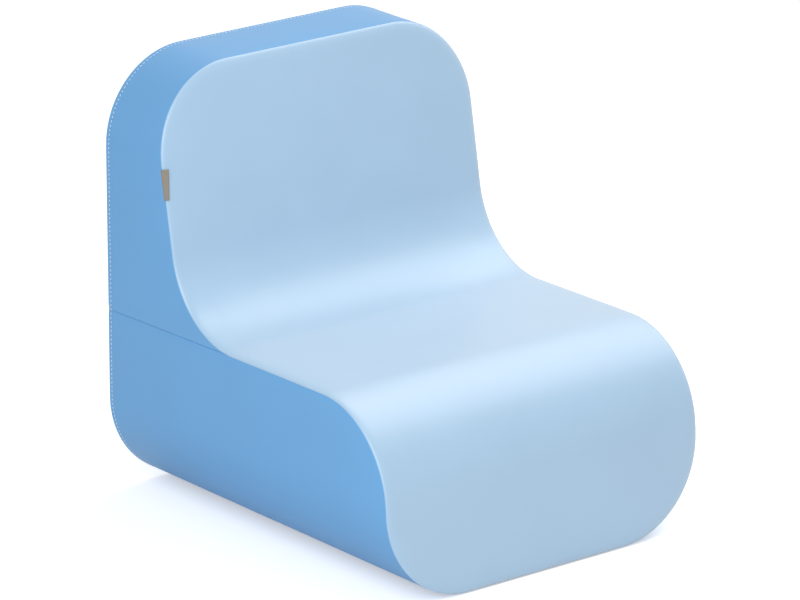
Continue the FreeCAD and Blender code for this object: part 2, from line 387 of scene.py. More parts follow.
def smoothed(values, edges, passes):
    """Averages a value with its neighbours' along the edges, pass by pass."""
    count = np.bincount(edges.ravel(), minlength=len(values))
    for _ in range(passes):
        total = np.zeros(len(values))
        np.add.at(total, edges[:, 0], values[edges[:, 1]])
        np.add.at(total, edges[:, 1], values[edges[:, 0]])
        values = 0.5 * values + 0.5 * total / np.maximum(count, 1)
    return values


def press_out(panels, frames=16):
    """The foam presses each panel out between its seams, as far as the foam itself reaches."""
    scene = bpy.context.scene
    clothed = []
    for panel in panels:
        piece = link("pressed_" + panel.name, panel.mesh(panel.place))
        group = piece.vertex_groups.new(name="seam")
        group.add(np.flatnonzero(panel.cut.from_seam() < SHEET / 2).tolist(), 1.0, "REPLACE")
        cloth = piece.modifiers.new("cloth", "CLOTH")
        settings = cloth.settings
        settings.quality = 6
        settings.mass = 0.3
        settings.tension_stiffness = settings.compression_stiffness = 15
        settings.shear_stiffness = 8
        settings.bending_stiffness = 2
        settings.vertex_group_mass = "seam"
        settings.use_pressure = True
        settings.uniform_pressure_force = PRESSURE
        settings.effector_weights.gravity = 0
        cloth.point_cache.frame_start, cloth.point_cache.frame_end = 1, frames
        clothed.append(piece)
    for number in range(1, frames + 1):
        scene.frame_set(number)
    depsgraph = bpy.context.evaluated_depsgraph_get()
    for panel, piece in zip(panels, clothed):
        found = coordinates(piece.evaluated_get(depsgraph).data)
        out = ((found - panel.place) * panel.normal).sum(1)
        edges = np.array([edge.vertices[:] for edge in piece.data.edges])
        out = smoothed(np.maximum(out, 0), edges, 4)
        panel.rise = smoothed(panel.swell * np.tanh(out / panel.swell), edges, 6)
        print("pressed", panel.name, len(found), "points, most", round(float(out.max()) * 1000, 1), "mm")
    for piece in clothed:
        bpy.data.objects.remove(piece)
    scene.frame_set(1)


# Cover panels

def front_panel():
    """The pale panel over the back, the seat and the front."""
    seat = seat_path(FRONT_SWELL)
    side = HALF_WIDTH - FRONT_SWELL
    high, low = TOP_CORNER - FRONT_SWELL, BOTTOM_CORNER - FRONT_SWELL
    turn = spaced(0, math.pi / 2, EDGE_SPACING / TOP_CORNER)
    head = np.c_[side - high + high * np.sin(turn), (1 - np.cos(turn)) * high / math.cos(RECLINE)]
    turn = spaced(math.pi / 2, 0, EDGE_SPACING / BOTTOM_CORNER)
    foot = np.c_[side - low + low * np.sin(turn), seat.length - (1 - np.cos(turn)) * low / math.cos(FLARE)]
    right = joined(head, straight(head[-1], foot[0]), foot)
    left = right[::-1] * [-1, 1]
    loop = joined(right, straight(right[-1], left[0]), left, straight(left[-1], right[0]))

    def lay(flat):
        place, out = seat.at(flat[:, 1])
        return np.c_[flat[:, 0], place], np.c_[np.zeros(len(flat)), out]

    return Panel("front_panel", Cut([(Edge(FRONT_ROLL, width=FRONT_ROLL_WIDTH), loop)]), lay, FRONT_SWELL)


class Side:
    """The tube of side panels, laid flat: the first value runs round the rim, the second towards the back."""

    def __init__(self):
        self.front_in = SIDE_SWELL + FRONT_ROLL + LAP_START
        self.seat, self.rim = seat_path(self.front_in), rim_path(SIDE_SWELL)
        self.back = BACK_Y - SIDE_SWELL
        self.lap = Edge(LAP_ROLL)
        self.end = Edge(BACK_ROLL, stitch_in=STITCH_IN)
        self.seam = Edge(SEAM_ROLL)
        self.seam_start = self.seat.ends[2] - (CROOK_RADIUS + self.front_in) * SIDE_SEAM_END
        self.seam_back = (self.round_at(SEAT_HEIGHT - SIDE_SEAM_DROP), self.back)

    def round_at(self, z):
        """How far round the rim a height of the right side is."""
        return self.rim.ends[2] + z - BOTTOM_CORNER

    def along_seat(self, start, stop):
        """The front edge of the right side between two lengths of the S."""
        place = self.seat.at(spaced(start, stop))[0]
        return np.c_[self.round_at(place[:, 1]), place[:, 0]]

    def round_rim(self, start, stop, front_of):
        """The front edge round a corner and along the level, where the S is straight."""
        way = spaced(start, stop)
        return np.c_[way, front_of(self.rim.at(way)[0][:, 1])]

    def back_front(self, z):
        lean = (HEIGHT - z) * math.tan(RECLINE)
        return BACK_Y - BACK_TOP_THICKNESS - lean + self.front_in / math.cos(RECLINE)

    def low_front(self, z):
        return FRONT_Y + z * math.tan(FLARE) + self.front_in / math.cos(FLARE)

    def mirrored(self, line):
        return np.c_[self.rim.length - line[::-1, 0], line[::-1, 1]]

    def lay(self, flat):
        place, out = self.rim.at(flat[:, 0])
        return np.c_[place[:, 0], flat[:, 1], place[:, 1]], np.c_[out[:, 0], np.zeros(len(flat)), out[:, 1]]

    def upper_band(self):
        """The strip up one side of the back, over its top and down the other side."""
        corner = self.rim.ends[3]
        rise = self.along_seat(self.seam_start, (TOP_CORNER - self.front_in) / math.cos(RECLINE))
        over = self.round_rim(corner, self.rim.length - corner, self.back_front)
        front = joined(rise, over, self.mirrored(rise))
        far = (self.rim.length - self.seam_back[0], self.back)
        sides = [
            (self.lap, front),
            (self.seam, straight(front[-1], far)),
            (self.end, straight(far, self.seam_back)),
            (self.seam, straight(self.seam_back, front[0])),
        ]
        return Panel("upper_side_band", Cut(sides), self.lay, SIDE_SWELL)

    def lower_panel(self, name, mirror):
        """One side of the seat, which turns under at the floor."""
        low_side = self.seat.length - (BOTTOM_CORNER - self.front_in) / math.cos(FLARE)
        down = self.along_seat(self.seam_start, low_side)
        front = joined(down, self.round_rim(self.rim.ends[2], BASE_HALF, self.low_front))
        base_back = (BASE_HALF, self.back)
        sides = [
            (self.lap, front),
            (self.seam, straight(front[-1], base_back)),
            (self.end, straight(base_back, self.seam_back)),
            (self.seam, straight(self.seam_back, front[0])),
        ]
        if mirror:
            sides = [(edge, self.mirrored(line)) for edge, line in reversed(sides)]
        return Panel(name, Cut(sides), self.lay, SIDE_SWELL)

    def base_panel(self):
        """The underside between the two lower panels, pressed out to just short of the floor."""
        front = float(self.low_front(SIDE_SWELL))
        corners = [(-BASE_HALF, front), (BASE_HALF, front), (BASE_HALF, self.back), (-BASE_HALF, self.back)]
        edges = [self.lap, self.seam, Edge(BACK_ROLL), self.seam]
        sides = [(e, straight(a, b)) for e, a, b in zip(edges, corners, corners[1:] + corners[:1])]

        def lay(flat):
            down = np.tile([0.0, 0.0, -1.0], (len(flat), 1))
            return np.c_[flat, np.full(len(flat), SIDE_SWELL)], down

        return Panel("base_panel", Cut(sides), lay, SIDE_SWELL - BASE_LIFT)


def back_panel(name, sign):
    """One half of the flat back: its outer edge lies under the side panels' rolled edge."""
    rim = rim_path(SIDE_SWELL + BACK_ROLL + LAP_START)
    seam = rim.ends[2] + ZIP_Z - BOTTOM_CORNER
    ends = (seam, rim.length - seam) if sign > 0 else (-seam, seam)
    way = spaced(*ends)
    rim_line = rim.at(way % rim.length)[0]
    fold = ZIP_Z + sign * ZIP_WINDOW / 2
    first, last = rim_line[0], rim_line[-1]
    inner = math.copysign(ZIP_WINDOW_HALF, last[0])
    turns = [last, (inner, ZIP_Z), (inner, fold), (-inner, fold), (-inner, ZIP_Z), first]
    zip_line = joined(*(straight(a, b) for a, b in zip(turns, turns[1:])))

    def lay(flat):
        back = np.tile([0.0, 1.0, 0.0], (len(flat), 1))
        return np.c_[flat[:, 0], np.full(len(flat), BACK_Y - BACK_SWELL), flat[:, 1]], back

    sides = [(Edge(LAP_ROLL), rim_line), (Edge(LAP_ROLL), zip_line)]
    return Panel(name, Cut(sides), lay, BACK_SWELL)


def cover_panels():
    side = Side()
    return [
        front_panel(),
        side.upper_band(),
        side.lower_panel("right_lower_panel", False),
        side.lower_panel("left_lower_panel", True),
        side.base_panel(),
        back_panel("upper_back_panel", 1),
        back_panel("lower_back_panel", -1),
    ]


# Materials

class Socket:
    """A node's output. Sums on it add Math nodes to its tree."""

    def __init__(self, nodes, source):
        self.nodes, self.source = nodes, source

    def other(self, name):
        """Another output of the same node."""
        return Socket(self.nodes, self.source.node.outputs[name])

    def maths(self, operation, *values):
        return self.nodes.add("ShaderNodeMath", {"operation": operation}, dict(enumerate(values)))

    def __add__(self, other):
        return self.maths("ADD", self, other)

    def __radd__(self, other):
        return self.maths("ADD", other, self)

    def __sub__(self, other):
        return self.maths("SUBTRACT", self, other)

    def __rsub__(self, other):
        return self.maths("SUBTRACT", other, self)

    def __mul__(self, other):
        return self.maths("MULTIPLY", self, other)

    def __rmul__(self, other):
        return self.maths("MULTIPLY", other, self)


class Nodes:
    """Adds nodes to a shader or geometry tree."""

    def __init__(self, tree):
        self.tree = tree

    def add(self, kind, settings=None, values=None, out=0):
        """A node of this kind, its settings first, then its sockets' values or links."""
        node = self.tree.nodes.new(kind)
        for name, value in (settings or {}).items():
            setattr(node, name, value)
        for name, value in (values or {}).items():
            if isinstance(value, Socket):
                self.tree.links.new(value.source, node.inputs[name])
            else:
                node.inputs[name].default_value = value
        return Socket(self, node.outputs[out]) if len(node.outputs) else node


def srgb(red, green, blue):
    """A linear colour from the 0 to 255 values that it is seen as."""
    def linear(value):
        value /= 255
        return value / 12.92 if value <= 0.04045 else ((value + 0.055) / 1.055) ** 2.4
    return (linear(red), linear(green), linear(blue), 1.0)


def shade(colour, share):
    return (*(c * share for c in colour[:3]), 1.0)


def material(name, build):
    """A material whose surface is a Principled shader with the sockets that build returns."""
    made = bpy.data.materials.new(name)
    made.use_nodes = True
    made.node_tree.nodes.clear()
    nodes = Nodes(made.node_tree)
    shader = nodes.add("ShaderNodeBsdfPrincipled", None, build(nodes))
    nodes.add("ShaderNodeOutputMaterial", None, {"Surface": shader})
    return made


def mixed(nodes, share, first, second):
    """A colour between two others."""
    return nodes.add("ShaderNodeMix", {"data_type": "RGBA"}, {0: share, 6: first, 7: second}, 2)


def cloud(nodes, place, scale, detail=2.0):
    return nodes.add("ShaderNodeTexNoise", None, {"Vector": place, "Scale": scale, "Detail": detail})


def bumped(nodes, height, strength, distance):
    return nodes.add("ShaderNodeBump", None, {"Height": height, "Strength": strength, "Distance": distance})


def object_place(nodes):
    return nodes.add("ShaderNodeTexCoord", out="Object")


def vinyl(colour, gloss, lacquer, sheen):
    """Satin vinyl: a fine pebbled grain under a lacquer, with slow changes of tone and gloss."""
    def build(nodes):
        place = object_place(nodes)
        grain = nodes.add("ShaderNodeTexVoronoi", {"feature": "SMOOTH_F1"}, {
            "Vector": place, "Scale": 1150.0, "Smoothness": 0.6,
        })
        pores = cloud(nodes, place, 2400.0)
        slow = cloud(nodes, place, 9.0, 3.0)
        return {
            "Base Color": mixed(nodes, slow, shade(colour, 0.955), shade(colour, 1.045)),
            "Roughness": 0.33 + 0.12 * slow + 0.06 * pores,
            "Specular IOR Level": gloss,
            "Coat Weight": lacquer,
            "Coat Roughness": 0.4,
            "Sheen Weight": sheen,
            "Normal": bumped(nodes, grain + 0.4 * pores, 0.16, 0.0003),
        }
    return build


def grained(colour, scale, detail, shades, rough, bump, metallic=0.0):
    """One grain that changes the tone between two shades, the roughness over a span, and the relief."""
    def build(nodes):
        grain = cloud(nodes, object_place(nodes), scale, detail)
        return {
            "Base Color": mixed(nodes, grain, shade(colour, shades[0]), shade(colour, shades[1])),
            "Metallic": metallic,
            "Roughness": rough[0] + rough[1] * grain,
            "Normal": bumped(nodes, grain, bump, 0.0002),
        }
    return build


def thread(colour):
    """Twisted sewing thread."""
    return grained(colour, 3200.0, 2.0, (0.85, 1.08), (0.62, 0.15), 0.5)


def moulded(colour):
    """Moulded zip plastic with a slight orange peel."""
    return grained(colour, 900.0, 2.0, (0.92, 1.06), (0.32, 0.12), 0.1)


def plated(colour):
    """Satin nickel with fine wear."""
    return grained(colour, 420.0, 5.0, (0.86, 1.08), (0.22, 0.2), 0.08, metallic=1.0)


def woven(colour, across, along, direction):
    """A close weave of ribs, read from the piece's own UV map in metres."""
    def build(nodes):
        place = nodes.add("ShaderNodeTexCoord", out="UV")
        ribs = nodes.add("ShaderNodeTexWave", {"bands_direction": direction}, {
            "Vector": place, "Scale": across, "Distortion": 0.4, "Detail": 1.0, "Detail Scale": 3.0,
        }, 1)
        picks = nodes.add("ShaderNodeTexWave", {"bands_direction": "DIAGONAL"}, {
            "Vector": place, "Scale": along, "Distortion": 0.6, "Detail": 1.0,
        }, 1)
        worn = cloud(nodes, place, 160.0, 3.0)
        weave = 0.6 * ribs + 0.4 * picks
        return {
            "Base Color": mixed(nodes, 0.7 * weave + 0.3 * worn, shade(colour, 0.72), shade(colour, 1.16)),
            "Roughness": 0.72 + 0.14 * worn,
            "Normal": bumped(nodes, weave, 0.6, 0.0003),
        }
    return build


def open_cell(colour):
    """Foam with open pores."""
    def build(nodes):
        place = object_place(nodes)
        pores = nodes.add("ShaderNodeTexVoronoi", None, {"Vector": place, "Scale": 700.0})
        return {
            "Base Color": mixed(nodes, pores, shade(colour, 0.8), colour),
            "Roughness": 0.85 + 0.1 * pores,
            "Normal": bumped(nodes, pores, 0.7, 0.0006),
        }
    return build


def coated_base(colour):
    """Matt coated cloth under the chair."""
    def build(nodes):
        place = object_place(nodes)
        weave = cloud(nodes, place, 1500.0)
        slow = cloud(nodes, place, 12.0)
        return {
            "Base Color": mixed(nodes, slow, shade(colour, 0.85), shade(colour, 1.1)),
            "Roughness": 0.7 + 0.12 * weave,
            "Normal": bumped(nodes, weave, 0.35, 0.0003),
        }
    return build


PALE_BLUE = srgb(157, 191, 219)
MID_BLUE = srgb(102, 164, 216)
finishes = {
    "pale_vinyl": vinyl(PALE_BLUE, 0.8, 0.5, 0.6),
    "mid_vinyl": vinyl(MID_BLUE, 0.4, 0.15, 0.0),
    "pale_thread": thread(srgb(212, 230, 244)),
    # Dark blue, painted shade for the inside of the needle holes
    "painted_hole_shade": thread(srgb(58, 98, 142)),
    "zip_tape": woven(srgb(92, 142, 196), 260.0, 420.0, "X"),
    "zip_teeth": moulded(srgb(96, 150, 204)),
    "zip_metal": plated((0.66, 0.66, 0.67, 1.0)),
    "woven_label": woven(srgb(150, 140, 128), 320.0, 520.0, "Y"),
    "non_slip_base": coated_base(srgb(74, 78, 86)),
    "foam": open_cell(srgb(236, 226, 196)),
}
materials = {name: material(name, build) for name, build in finishes.items()}


def finish_piece(piece, material_name, slot=None, body="chair", nodes=()):
    """Gives a piece its material, hides the part's nodes that it stands for and hangs it on the body that it
    rides on. The slot is not used.
    """
    piece.data.materials.clear()
    piece.data.materials.append(materials[material_name])
    slot or material_name
    if nodes:
        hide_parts(*nodes)
    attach(piece, body)
    return piece


# Cover

def sew_cover():
    panels = cover_panels()
    (press_out)(panels)
    colours = {"front_panel": "pale_vinyl", "base_panel": "non_slip_base"}
    pieces = []
    for panel in panels:
        piece = link(panel.name + "_cover", panel.finished())
        rounder = piece.modifiers.new("rounder", "SUBSURF")
        rounder.levels = rounder.render_levels = 1
        sheet = piece.modifiers.new("sheet", "SOLIDIFY")
        sheet.thickness, sheet.offset = SHEET, -1.0
        finish_piece(piece, colours.get(panel.name, "mid_vinyl"), nodes=[panel.name])
        tuple(map(float, panel.cut.size))
        pieces.append(piece)
    return pieces


cover = sew_cover()


# Foam core

FOAM_VOXEL = 0.007
FOAM_EASE = 0.004


def foam_block(node):
    """The block as cut and glued, its edges eased by the cover that squeezes it."""
    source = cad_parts[node]
    shape = bmesh.new()
    shape.from_mesh(source.data)
    bmesh.ops.remove_doubles(shape, verts=shape.verts, dist=1e-6)
    mesh = bpy.data.meshes.new(node + "_core")
    shape.to_mesh(mesh)
    shape.free()
    piece = link(node + "_core", mesh)
    voxels = piece.modifiers.new("voxels", "REMESH")
    voxels.mode, voxels.voxel_size = "VOXEL", FOAM_VOXEL
    depsgraph = bpy.context.evaluated_depsgraph_get()
    blocky = bpy.data.meshes.new_from_object(piece.evaluated_get(depsgraph))
    piece.modifiers.clear()
    shape = bmesh.new()
    shape.from_mesh(blocky)
    for _ in range(6):
        bmesh.ops.smooth_vert(shape, verts=shape.verts, factor=0.5, use_axis_x=True, use_axis_y=True,
                              use_axis_z=True)
    shape.normal_update()
    for corner in shape.verts:
        corner.co -= corner.normal * FOAM_EASE
    shape.to_mesh(blocky)
    shape.free()
    blocky.shade_smooth()
    piece.data = blocky
    finish_piece(piece, "foam", nodes=[node])


for node in ("seat_foam_block", "backrest_foam_block"):
    foam_block(node)


# Geometry trees

def geometry_tree(name, inputs):
    """A geometry tree with these named inputs, and the sockets that carry them."""
    tree = bpy.data.node_groups.new(name, "GeometryNodeTree")
    tree.interface.new_socket("Geometry", in_out="INPUT", socket_type="NodeSocketGeometry")
    for label, kind in inputs.items():
        tree.interface.new_socket(label, in_out="INPUT", socket_type="NodeSocket" + kind)
    tree.interface.new_socket("Geometry", in_out="OUTPUT", socket_type="NodeSocketGeometry")
    nodes = Nodes(tree)
    given = tree.nodes.new("NodeGroupInput")
    return nodes, {port.name: Socket(nodes, port) for port in given.outputs if port.name}


def repeat(nodes, points, shape, finish, rotation=None):
    """Ends a tree with a shape at each point, made real and given its material."""
    smooth = nodes.add("GeometryNodeSetShadeSmooth", None, {"Geometry": shape})
    turned = {"Rotation": rotation} if rotation else {}
    copies = nodes.add("GeometryNodeInstanceOnPoints", None, {"Points": points, "Instance": smooth, **turned})
    real = nodes.add("GeometryNodeRealizeInstances", None, {"Geometry": copies})
    dressed = nodes.add("GeometryNodeSetMaterial", None, {"Geometry": real, "Material": finish})
    nodes.add("NodeGroupOutput", None, {"Geometry": dressed})
    return nodes.tree


def vector(nodes, x, y, z):
    return nodes.add("ShaderNodeCombineXYZ", None, {"X": x, "Y": y, "Z": z})


def grown(name, tree, values, points=(), edges=()):
    """The plain mesh that a geometry tree makes, as an object."""
    mesh = bpy.data.meshes.new(name)
    mesh.from_pydata(points, edges, [])
    holder = link(name + "_maker", mesh)
    maker = holder.modifiers.new("maker", "NODES")
    maker.node_group = tree
    for port in tree.interface.items_tree:
        if port.in_out == "INPUT" and port.name in values:
            maker[port.identifier] = values[port.name]
    depsgraph = bpy.context.evaluated_depsgraph_get()
    made = bpy.data.meshes.new_from_object(holder.evaluated_get(depsgraph))
    bpy.data.objects.remove(holder)
    return link(name, made)


# Thread

def stitch_tree():
    nodes, given = geometry_tree("stitches", {
        "Pitch": "Float", "Stitch length": "Float", "Thread radius": "Float", "Thread": "Material",
    })
    line = nodes.add("GeometryNodeMeshToCurve", None, {"Mesh": given["Geometry"]})
    places = nodes.add("GeometryNodeCurveToPoints", {"mode": "LENGTH"}, {
        "Curve": line, "Length": given["Pitch"],
    })
    ball = nodes.add("GeometryNodeMeshUVSphere", None, {"Segments": 8, "Rings": 6, "Radius": 1.0})
    radius = given["Thread radius"]
    stitch = nodes.add("GeometryNodeTransform", None, {
        "Geometry": ball, "Scale": vector(nodes, radius, radius, 0.5 * given["Stitch length"]),
    })
    return repeat(nodes, places, stitch, given["Thread"], places.other("Rotation"))


class Skin:
    """The finished cover, for laying things on."""

    def __init__(self, pieces):
        depsgraph = bpy.context.evaluated_depsgraph_get()
        self.trees = [BVHTree.FromObject(piece, depsgraph) for piece in pieces]

    def laid(self, points, normals, lift):
        """The points moved along their normals until they stand off the cover by lift. Gaps are left out."""
        found = []
        for point, normal in zip(map(Vector, points), map(Vector, normals)):
            start = point + normal * 0.02
            hits = [tree.ray_cast(start, -normal, 0.04) for tree in self.trees]
            hits = [hit for hit in hits if hit[0]]
            if hits:
                found.append(min(hits, key=lambda hit: hit[3])[0] + normal * lift)
        return found


def sewn(name, tree, points, pitch, length, radius, finish):
    edges = [(k, k + 1) for k in range(len(points) - 1)]
    piece = grown(name, tree, {
        "Pitch": pitch, "Stitch length": length, "Thread radius": radius, "Thread": materials[finish],
    }, points, edges)
    return finish_piece(piece, finish, slot="mid_vinyl")


def topstitching():
    """One row round the back edge of the side panels, with dark dots of painted shade in its needle holes,
    and one round the zip.
    """
    skin, tree = Skin(cover), stitch_tree()
    rim = rim_path(0)
    way = spaced(BASE_HALF, rim.length - BASE_HALF, STITCH_PITCH / 2)
    place, out = rim.at(way)
    points = np.c_[place[:, 0], np.full(len(way), BACK_Y - SIDE_SWELL - STITCH_IN), place[:, 1]]
    normals = np.c_[out[:, 0], np.zeros(len(way)), out[:, 1]]
    row = skin.laid(points, normals, STITCH_LIFT)
    sewn("back_edge_stitches", tree, row, STITCH_PITCH, STITCH_LENGTH, STITCH_RADIUS, "pale_thread")
    # The needle holes are dark blue dots sunk into the vinyl: painted shade, not a colour of the cover
    row = skin.laid(points[1:], normals[1:], HOLE_SHADE_LIFT)
    sewn("back_edge_painted_hole_shade", tree, row, STITCH_PITCH, HOLE_SHADE_LENGTH, HOLE_SHADE_RADIUS, "painted_hole_shade")
    across, up = ZIP_WINDOW_HALF + ZIP_STITCH_IN, ZIP_WINDOW / 2 + ZIP_STITCH_IN
    corners = [(across, up), (-across, up), (-across, -up), (across, -up), (across, up)]
    loop = joined(*(straight(a, b) for a, b in zip(corners, corners[1:])))
    points = np.c_[loop[:, 0], np.full(len(loop), BACK_Y), loop[:, 1] + ZIP_Z]
    normals = np.tile([0.0, 1.0, 0.0], (len(loop), 1))
    row = skin.laid(points, normals, STITCH_LIFT)
    sewn("zip_stitches", tree, row, ZIP_STITCH_PITCH, ZIP_STITCH_LENGTH, STITCH_RADIUS, "pale_thread")


topstitching()


# Zip

TOOTH_BODY = (0.0014, 0.0016, 0.0045)
TOOTH_HEAD = (0.0021, 0.0018, 0.0017)
TOOTH_PITCH = 0.005
TOOTH_COUNT = 84
TAPE_CORD = 0.00035
METAL_EASE = 0.0003


def tooth_tree():
    nodes, given = geometry_tree("zip_row", {
        "Count": "Int", "Pitch": "Float", "Body": "Vector", "Head": "Vector", "Reach": "Float",
        "Plastic": "Material",
    })
    places = nodes.add("GeometryNodeMeshLine", None, {
        "Count": given["Count"], "Offset": vector(nodes, given["Pitch"], 0.0, 0.0),
    })
    body = nodes.add("GeometryNodeMeshCube", None, {"Size": given["Body"]})
    head = nodes.add("GeometryNodeTransform", None, {
        "Geometry": nodes.add("GeometryNodeMeshCube", None, {"Size": given["Head"]}),
        "Translation": vector(nodes, 0.0, 0.0, given["Reach"]),
    })
    both = nodes.add("GeometryNodeJoinGeometry", None, {"Geometry": body})
    nodes.tree.links.new(head.source, both.source.node.inputs["Geometry"])
    tooth = nodes.add("GeometryNodeSubdivisionSurface", None, {"Mesh": both, "Level": 1, "Edge Crease": 0.6})
    return repeat(nodes, places, tooth, given["Plastic"])


def teeth(tree, node, sign):
    """One row. Its inner ends lap between the other row's."""
    low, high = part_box(node)
    reach = (low.z - high.z) * sign / 2 + TOOTH_HEAD[2] * sign / 2
    row = grown(node + "_moulded", tree, {
        "Count": TOOTH_COUNT, "Pitch": TOOTH_PITCH, "Body": TOOTH_BODY, "Head": TOOTH_HEAD,
        "Reach": reach, "Plastic": materials["zip_teeth"],
    })
    middle = (low + high) / 2
    row.data.transform(Matrix.Translation((low.x + TOOTH_HEAD[0] / 2, middle.y, middle.z)))
    finish_piece(row, "zip_teeth", nodes=[node])
    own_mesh(row)


def with_uv(mesh, places):
    """Gives a mesh a UV map in metres, one place for each vertex."""
    layer = mesh.uv_layers.new(name="cloth")
    corners = np.empty(len(mesh.loops), int)
    mesh.loops.foreach_get("vertex_index", corners)
    layer.data.foreach_set("uv", np.asarray(places)[corners].ravel())
    return mesh


def strip(name, points, places):
    """A mesh from rows of points, with a UV place for each."""
    rows, columns = points.shape[:2]
    faces = [
        [r * columns + c, r * columns + c + 1, (r + 1) * columns + c + 1, (r + 1) * columns + c]
        for r in range(rows - 1) for c in range(columns - 1)
    ]
    return with_uv(new_mesh(name, points.reshape(-1, 3), faces), places.reshape(-1, 2))


def tape(node, sign):
    """Woven tape with a corded inner edge."""
    low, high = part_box(node)
    along = spaced(low.x, high.x, 0.006)
    across = np.linspace(0, 1, 13) ** 1.5
    width = high.z - low.z
    inner = low.z if sign > 0 else high.z
    grid_x, grid_w = np.meshgrid(along, across * width)
    cord = TAPE_CORD * np.exp(-(grid_w / 0.0012) ** 2)
    points = np.stack([grid_x, high.y - TAPE_CORD + cord, inner + sign * grid_w], axis=2)
    mesh = strip(node + "_woven", points, np.stack([grid_x, grid_w], axis=2))
    if sign > 0:
        mesh.flip_normals()
    piece = link(node + "_woven", mesh)
    body = piece.modifiers.new("thickness", "SOLIDIFY")
    body.thickness, body.offset = high.y - low.y - TAPE_CORD, -1.0
    finish_piece(piece, "zip_tape", nodes=[node])


def rounded(corners, radius, steps=5):
    """A closed outline with each of its corners rounded."""
    outline = []
    count = len(corners)
    for k in range(count):
        here = Vector(corners[k])
        back, ahead = (Vector(corners[k - 1]) - here), (Vector(corners[(k + 1) % count]) - here)
        reach = min(radius, back.length / 2.01, ahead.length / 2.01)
        start, end = here + back.normalized() * reach, here + ahead.normalized() * reach
        for step in range(steps + 1):
            t = step / steps
            outline.append(start * (1 - t) ** 2 + here * 2 * t * (1 - t) + end * t ** 2)
    return outline


def box_outline(low, high):
    return [(low[0], low[1]), (high[0], low[1]), (high[0], high[1]), (low[0], high[1])]


def plate(outlines, low, high, ease, upright=False):
    """A plate with eased edges between two depths: in the plane of the back, or upright along the zip."""
    curve = bpy.data.curves.new("plate", "CURVE")
    curve.dimensions, curve.fill_mode = "2D", "BOTH"
    curve.extrude = (high - low) / 2 - ease
    curve.bevel_depth, curve.bevel_resolution, curve.offset = ease, 2, -ease
    for outline in outlines:
        spline = curve.splines.new("POLY")
        spline.points.add(len(outline) - 1)
        spline.points.foreach_set("co", [v for x, y in outline for v in (x, y, 0.0, 1.0)])
        spline.use_cyclic_u = True
    holder = link("plate", curve)
    depsgraph = bpy.context.evaluated_depsgraph_get()
    mesh = bpy.data.meshes.new_from_object(holder.evaluated_get(depsgraph))
    bpy.data.objects.remove(holder)
    middle = (low + high) / 2
    if upright:
        mesh.transform(Matrix.Translation((0, 0, middle)))
    else:
        mesh.transform(Matrix.Translation((0, middle, 0)) @ Matrix.Rotation(math.pi / 2, 4, "X"))
    return mesh


def assembled(name, meshes):
    """One mesh from several closed ones, their doubles merged and their faces turned outwards."""
    shape = bmesh.new()
    for mesh in meshes:
        shape.from_mesh(mesh)
    bmesh.ops.remove_doubles(shape, verts=shape.verts, dist=1e-7)
    bmesh.ops.recalc_face_normals(shape, faces=shape.faces)
    whole = bpy.data.meshes.new(name)
    shape.to_mesh(whole)
    shape.free()
    whole.shade_smooth()
    whole.set_sharp_from_angle(angle=math.radians(40))
    return whole


SLIDER_PLATE = 0.0012
SLIDER_FLANGE = 0.0007
SLIDER_TAIL = 0.0045
SLIDER_CORNER = 0.002
PULL_CLEARANCE = 0.0004
TAPE_CLEARANCE = 0.0003
RAIL_SHARE = 0.85
BAIL_HALF_LENGTH = 0.0035
BAIL_HALF_WIDTH = 0.0015
BAIL_BAR = 0.0013
DIVIDER = (0.0012, 0.0052, 0.0012)
PULL_END = 0.026
PULL_ARM_HALF = 0.0033
PULL_HALF = 0.0042
PULL_WINDOW = (0.0008, 0.0060, 0.0019)
PULL_SLOT = (0.0125, 0.0225, 0.0013)


def slider():
    """Two shield-shaped plates, joined by the divider, with flanges and a bail for the pull tab."""
    low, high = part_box("zip_slider")
    middle, half = (low.x + high.x) / 2, (high.x - low.x) / 2
    wide = (high.z - low.z) / 2
    tape_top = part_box("zip_upper_tape")[1].y
    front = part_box("zip_pull_tab")[0].y - PULL_CLEARANCE
    under = front - SLIDER_PLATE
    rail_half = RAIL_SHARE * half

    def spot(x, z):
        return (middle + x, ZIP_Z + z)

    shield = rounded([
        spot(half, wide), spot(-half, SLIDER_TAIL), spot(-half, -SLIDER_TAIL), spot(half, -wide),
    ], SLIDER_CORNER)
    parts = [plate([shield], under, front, METAL_EASE)]
    parts.append(plate([shield], low.y, low.y + SLIDER_PLATE, METAL_EASE))
    for sign in (1, -1):
        rail = [
            spot(rail_half, sign * wide),
            spot(-rail_half, sign * SLIDER_TAIL),
            spot(-rail_half, sign * (SLIDER_TAIL - SLIDER_FLANGE)),
            spot(rail_half, sign * (wide - SLIDER_FLANGE)),
        ]
        parts.append(plate([rail], tape_top + TAPE_CLEARANCE, front - METAL_EASE, METAL_EASE / 2))
    start, end, across = DIVIDER
    post = rounded([spot(start, 0), spot(end, across), spot(end, -across)], 0.0006)
    parts.append(plate([post], low.y + METAL_EASE, front - METAL_EASE, METAL_EASE / 2))
    arch = rounded([
        (middle - BAIL_HALF_LENGTH, under), (middle + BAIL_HALF_LENGTH, under),
        (middle + BAIL_HALF_LENGTH, high.y), (middle - BAIL_HALF_LENGTH, high.y),
    ], 0.0016)
    inner = BAIL_HALF_LENGTH - BAIL_BAR
    hole = rounded([
        (middle - inner, front), (middle + inner, front),
        (middle + inner, high.y - BAIL_BAR), (middle - inner, high.y - BAIL_BAR),
    ], 0.0008)
    below, above = ZIP_Z - BAIL_HALF_WIDTH, ZIP_Z + BAIL_HALF_WIDTH
    parts.append(plate([arch, hole], below, above, METAL_EASE, upright=True))
    piece = link("zip_slider_plated", assembled("zip_slider_plated", parts))
    finish_piece(piece, "zip_metal", body="zip_slider", nodes=["zip_slider"])


